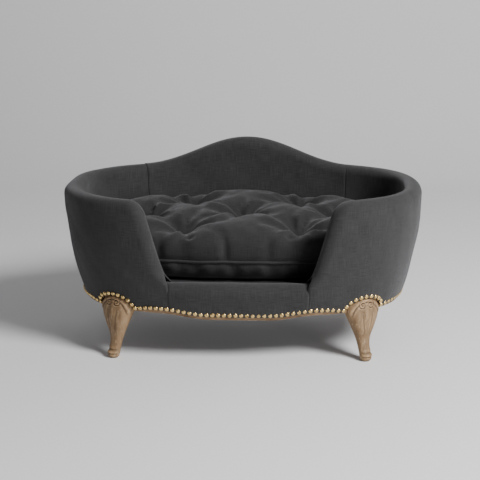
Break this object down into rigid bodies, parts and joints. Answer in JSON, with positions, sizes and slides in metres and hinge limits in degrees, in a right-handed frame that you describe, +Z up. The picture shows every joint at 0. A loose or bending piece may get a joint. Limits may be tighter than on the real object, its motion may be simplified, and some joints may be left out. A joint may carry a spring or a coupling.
{
  "type": "dog bed",
  "caption": "Sofa-style pet bed with a padded wrap-round body, humped back, low front, nail-head trim, carved legs and a loose tufted cushion.",
  "frame": {"origin": "on the floor under the middle of the body", "axes": "+Z up, the open front towards -Y, +X to the right seen from the front"},
  "size_m": [0.7498, 0.4955, 0.393],
  "materials": {
    "cambric": "black lining cloth",
    "felt": "pressed felt",
    "foam": "soft upholstery foam and wadding",
    "nail_brass": "antiqued, domed",
    "oak": "limed oak, brushed grain, matt",
    "plywood": "birch plywood, sanded",
    "steel": "zinc plated",
    "twine": "waxed twine",
    "upholstery_linen": "charcoal linen weave, matt"
  },
  "bodies": {
    "frame": {"apron_dowels": "plywood", "back_apron": "oak", "back_board": "plywood", "back_cover": "upholstery_linen", "back_nails": "nail_brass", "back_padding": "foam", "corner_blocks": "plywood", "deck_cloth": "cambric", "deck_pad": "foam", "dust_cloth": "cambric", "foot_glides": "felt", "front_apron": "oak", "front_left_leg": "oak", "front_nails": "nail_brass", "front_rail_board": "plywood", "front_rail_cover": "upholstery_linen", "front_rail_padding": "foam", "front_right_leg": "oak", "left_apron": "oak", "left_arm_board": "plywood", "left_arm_cover": "upholstery_linen", "left_arm_padding": "foam", "left_brace": "plywood", "left_nails": "nail_brass", "leg_bolt_nuts": "steel", "leg_bolt_washers": "steel", "leg_bolts": "steel", "platform_board": "plywood", "platform_screws": "steel", "rear_left_leg": "oak", "rear_right_leg": "oak", "right_apron": "oak", "right_arm_board": "plywood", "right_arm_cover": "upholstery_linen", "right_arm_padding": "foam", "right_brace": "plywood", "right_nails": "nail_brass"},
    "cushion": {"cushion_cover": "upholstery_linen", "cushion_filling": "foam", "cushion_piping": "upholstery_linen", "tuft_twine": "twine"}
  },
  "joints": [
    {"name": "cushion_lift", "type": "slide", "parent": "frame", "child": "cushion", "axis": [0, 0, 1], "range_m": [0, 0.3]}
  ]
}
